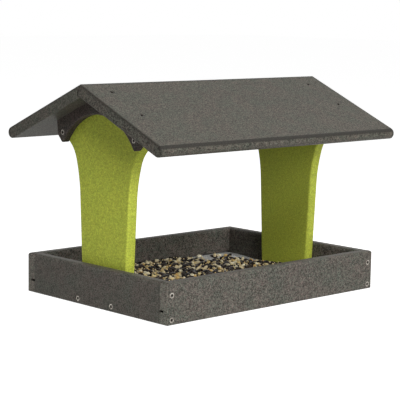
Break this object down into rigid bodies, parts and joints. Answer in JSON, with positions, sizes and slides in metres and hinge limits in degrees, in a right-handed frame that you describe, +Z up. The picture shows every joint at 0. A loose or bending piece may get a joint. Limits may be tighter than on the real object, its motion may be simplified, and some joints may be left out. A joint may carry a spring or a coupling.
{
  "type": "bird feeder",
  "caption": "Fly-through bird feeder: open screened tray of plastic boards, flared end posts, arched gable blocks and a pitched roof over the tray.",
  "frame": {"origin": "middle of the tray's underside, where the feeder stands", "axes": "+X along the ridge to the right, +Y towards the back, +Z up"},
  "size_m": [0.457, 0.3232, 0.304],
  "materials": {
    "charcoal_board": "finely stippled charcoal grey board, satin",
    "lime_board": "finely stippled lime green board, satin",
    "screen_mesh": "fine woven screen, dull pale grey",
    "seeds": "mixed bird seed: black sunflower, cracked corn, safflower and white millet",
    "screws": "stainless, satin"
  },
  "bodies": {
    "root": {"front_tray_board": "charcoal_board", "back_tray_board": "charcoal_board", "left_end_board": "charcoal_board", "right_end_board": "charcoal_board", "left_gable_block": "charcoal_board", "right_gable_block": "charcoal_board", "front_roof_panel": "charcoal_board", "back_roof_panel": "charcoal_board", "left_post": "lime_board", "right_post": "lime_board", "seed_screen": "screen_mesh", "seed_mix": "seeds", "front_left_corner_screws": "screws", "front_right_corner_screws": "screws", "back_left_corner_screws": "screws", "back_right_corner_screws": "screws", "left_post_foot_screws": "screws", "right_post_foot_screws": "screws", "left_gable_screws": "screws", "right_gable_screws": "screws", "front_left_roof_screws": "screws", "front_right_roof_screws": "screws", "back_left_roof_screws": "screws", "back_right_roof_screws": "screws"}
  },
  "joints": []
}
